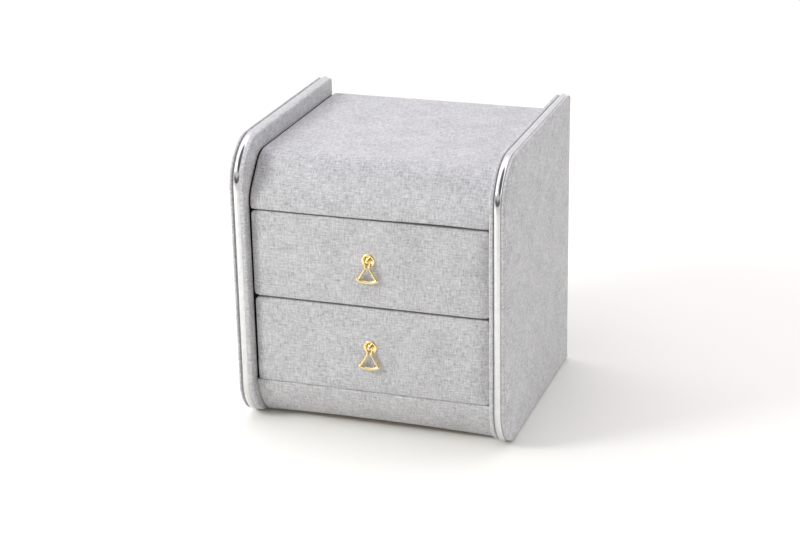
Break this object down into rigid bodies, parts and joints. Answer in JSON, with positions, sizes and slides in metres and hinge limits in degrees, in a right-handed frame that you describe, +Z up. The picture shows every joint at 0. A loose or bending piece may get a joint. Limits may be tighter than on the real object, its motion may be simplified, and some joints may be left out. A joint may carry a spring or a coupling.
{
  "type": "bedside chest with drawers",
  "caption": "Padded linen bedside chest with raised chrome-trimmed side panels, a curved fascia under the top, and runner-mounted drawers with hinged gold ring pulls.",
  "frame": {"origin": "on the floor, at the centre of the chest's bounding box seen from above", "axes": "+Z up, +X to the viewer's right when facing the drawers, drawers open towards -Y"},
  "size_m": [0.5, 0.449, 0.529],
  "materials": {
    "linen": "grey slub linen weave over thin foam, matt",
    "chrome_trim": "bright polished",
    "gold": "polished yellow gold plating",
    "board": "raw medium-density fibreboard and bent plywood",
    "drawer_box": "pale grey linen-print laminate on particle board",
    "runner_steel": "zinc plated, satin",
    "back_board": "black faced hardboard",
    "glide": "black moulded plastic"
  },
  "bodies": {
    "carcass": {"left_side_board": "board", "right_side_board": "board", "left_outer_cover": "linen", "right_outer_cover": "linen", "left_inner_cover": "linen", "right_inner_cover": "linen", "left_edge_trim": "chrome_trim", "right_edge_trim": "chrome_trim", "top_board": "board", "fascia_board": "board", "top_cover": "linen", "bottom_board": "board", "plinth_board": "board", "plinth_cover": "linen", "back_panel": "back_board", "rear_rail": "board", "floor_glides": "glide", "cam_locks": "runner_steel", "cam_bolts": "runner_steel", "carcass_dowels": "board", "back_panel_screws": "runner_steel", "runner_screws": "runner_steel", "upper_runner_outer_left": "runner_steel", "upper_runner_outer_right": "runner_steel", "lower_runner_outer_left": "runner_steel", "lower_runner_outer_right": "runner_steel"},
    "upper_drawer": {"upper_front_board": "board", "upper_front_cover": "linen", "upper_box_front": "drawer_box", "upper_box_back": "drawer_box", "upper_box_left": "drawer_box", "upper_box_right": "drawer_box", "upper_box_bottom": "drawer_box", "upper_runner_inner_left": "runner_steel", "upper_runner_inner_right": "runner_steel", "upper_drawer_screws": "runner_steel", "upper_knob": "gold", "upper_knob_screw": "runner_steel"},
    "upper_runner_middle": {"upper_runner_middle_left": "runner_steel", "upper_runner_middle_right": "runner_steel", "upper_ball_cages": "runner_steel"},
    "upper_ring": {"upper_pull_ring": "gold"},
    "lower_drawer": {"lower_front_board": "board", "lower_front_cover": "linen", "lower_box_front": "drawer_box", "lower_box_back": "drawer_box", "lower_box_left": "drawer_box", "lower_box_right": "drawer_box", "lower_box_bottom": "drawer_box", "lower_runner_inner_left": "runner_steel", "lower_runner_inner_right": "runner_steel", "lower_drawer_screws": "runner_steel", "lower_knob": "gold", "lower_knob_screw": "runner_steel"},
    "lower_runner_middle": {"lower_runner_middle_left": "runner_steel", "lower_runner_middle_right": "runner_steel", "lower_ball_cages": "runner_steel"},
    "lower_ring": {"lower_pull_ring": "gold"}
  },
  "joints": [
    {"name": "upper_drawer_slide", "type": "slide", "parent": "carcass", "child": "upper_drawer", "axis": [0, -1, 0], "range_m": [0, 0.33]},
    {"name": "upper_runner_slide", "type": "slide", "parent": "carcass", "child": "upper_runner_middle", "axis": [0, -1, 0], "range_m": [0, 0.165]},
    {"name": "upper_ring_swing", "type": "hinge", "parent": "upper_drawer", "child": "upper_ring", "pos_m": [0, -0.215, 0.3315], "axis": [-1, 0, 0], "range_deg": [-5, 85]},
    {"name": "lower_drawer_slide", "type": "slide", "parent": "carcass", "child": "lower_drawer", "axis": [0, -1, 0], "range_m": [0, 0.33]},
    {"name": "lower_runner_slide", "type": "slide", "parent": "carcass", "child": "lower_runner_middle", "axis": [0, -1, 0], "range_m": [0, 0.165]},
    {"name": "lower_ring_swing", "type": "hinge", "parent": "lower_drawer", "child": "lower_ring", "pos_m": [0, -0.215, 0.169], "axis": [-1, 0, 0], "range_deg": [-5, 85]}
  ],
  "couplings": [
    {"joint": "upper_runner_slide", "follows": "upper_drawer_slide", "ratio": 0.5},
    {"joint": "lower_runner_slide", "follows": "lower_drawer_slide", "ratio": 0.5}
  ]
}
